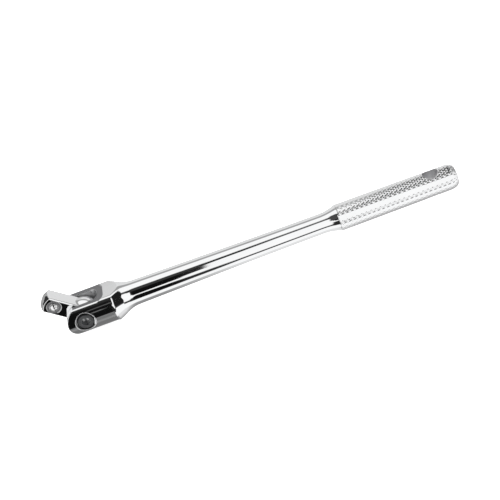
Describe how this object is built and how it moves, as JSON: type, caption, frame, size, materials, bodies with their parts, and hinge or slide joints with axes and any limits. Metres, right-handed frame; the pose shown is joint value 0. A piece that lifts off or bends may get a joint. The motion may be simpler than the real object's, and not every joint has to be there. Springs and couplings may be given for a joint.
{
  "type": "breaker bar",
  "caption": "Long chrome bar with a knurled grip and a fork head that holds a hinged square drive tang with a spring ball, on a hex-socket pivot screw.",
  "frame": {"origin": "centre of the cross hole, on the bar's axis", "axes": "+X along the bar towards the grip's end, +Y along the pivot away from the screw's head, +Z normal to the head's flats, along the cross hole"},
  "size_m": [0.2384, 0.0232, 0.0278],
  "materials": {
    "bar_chrome": "polished, satin on the milled step",
    "drive_chrome": "polished",
    "screw_steel": "dark satin",
    "ball_steel": "polished",
    "spring_steel": "drawn wire",
    "washer_steel": "rolled",
    "nylon": "moulded"
  },
  "bodies": {
    "bar": {"handle": "bar_chrome", "pivot_screw": "screw_steel", "locking_pellet": "nylon", "thrust_washer_near": "washer_steel", "thrust_washer_far": "washer_steel", "friction_spring": "spring_steel"},
    "drive": {"drive_tang": "drive_chrome", "detent_spring": "spring_steel"},
    "detent_ball": {"detent_ball": "ball_steel"},
    "friction_ball": {"friction_ball": "ball_steel"}
  },
  "joints": [
    {"name": "drive_swivel", "type": "hinge", "parent": "bar", "child": "drive", "pos_m": [-0.2041, 0, 0], "axis": [0, 1, 0], "range_deg": [-147, 63]},
    {"name": "detent_ball_press", "type": "slide", "parent": "drive", "child": "detent_ball", "axis": [0, 1, 0], "range_m": [0, 0.0009], "stiffness_N_per_m": 150, "deforming": ["detent_spring"]},
    {"name": "friction_ball_press", "type": "slide", "parent": "bar", "child": "friction_ball", "axis": [1, 0, 0], "range_m": [0, 0.0004], "stiffness_N_per_m": 150, "deforming": ["friction_spring"]}
  ]
}
